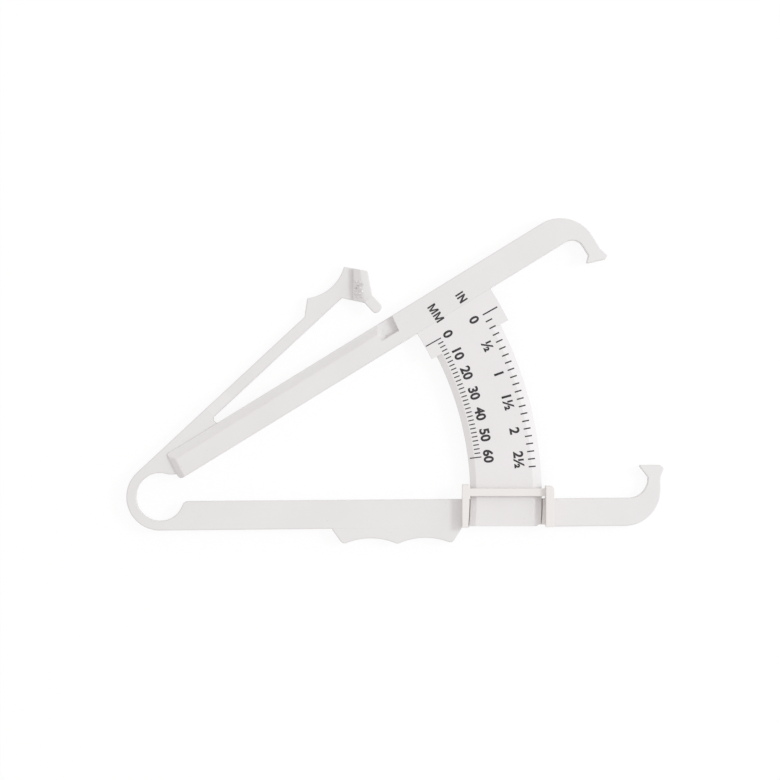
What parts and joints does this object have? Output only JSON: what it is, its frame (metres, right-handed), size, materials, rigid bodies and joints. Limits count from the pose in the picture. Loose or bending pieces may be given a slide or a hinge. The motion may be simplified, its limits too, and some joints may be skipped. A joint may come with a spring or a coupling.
{
  "type": "skinfold caliper",
  "caption": "Flat moulded skinfold caliper: two arms on an open spring ring, facing jaws, a curved scale sliding through a guide and a flexing thumb lever.",
  "frame": {"origin": "centre of the spring ring's hole, on the flat back", "axes": "+X along the lower arm to its jaw, +Y towards the upper arm, +Z out of the printed face; the caliper lies flat on its back, relaxed and open"},
  "size_m": [0.1683, 0.1018, 0.0109],
  "materials": {
    "white_plastic": "smooth injection moulded, satin",
    "scale_plastic": "smooth injection moulded, satin, printed",
    "black_ink": "pad-printed ink"
  },
  "bodies": {
    "lower_arm": {"lower_arm": "white_plastic", "finger_grip": "white_plastic", "lower_jaw": "white_plastic", "lower_jaw_foot": "white_plastic", "guide_post_left": "white_plastic", "guide_post_right": "white_plastic", "guide_bar": "white_plastic", "spring_ring": "white_plastic"},
    "upper_arm": {"hinge_root": "white_plastic", "upper_arm": "white_plastic", "upper_jaw": "white_plastic", "upper_jaw_foot": "white_plastic", "scale_plate": "scale_plastic"},
    "thumb_lever": {"lever_blade": "white_plastic", "thumb_pad": "white_plastic", "lever_rib": "white_plastic", "lever_pointer": "white_plastic"}
  },
  "joints": [
    {"name": "jaw_hinge", "type": "hinge", "parent": "lower_arm", "child": "upper_arm", "pos_m": [0, 0, 0], "axis": [0, 0, 1], "range_deg": [-24.4, 0], "stiffness_Nm_per_rad": 0.6, "deforming": ["spring_ring"]},
    {"name": "lever_press", "type": "hinge", "parent": "upper_arm", "child": "thumb_lever", "pos_m": [0.01703, 0.02524, 0], "axis": [0, 0, 1], "range_deg": [-7.3, 0], "stiffness_Nm_per_rad": 1.5}
  ]
}
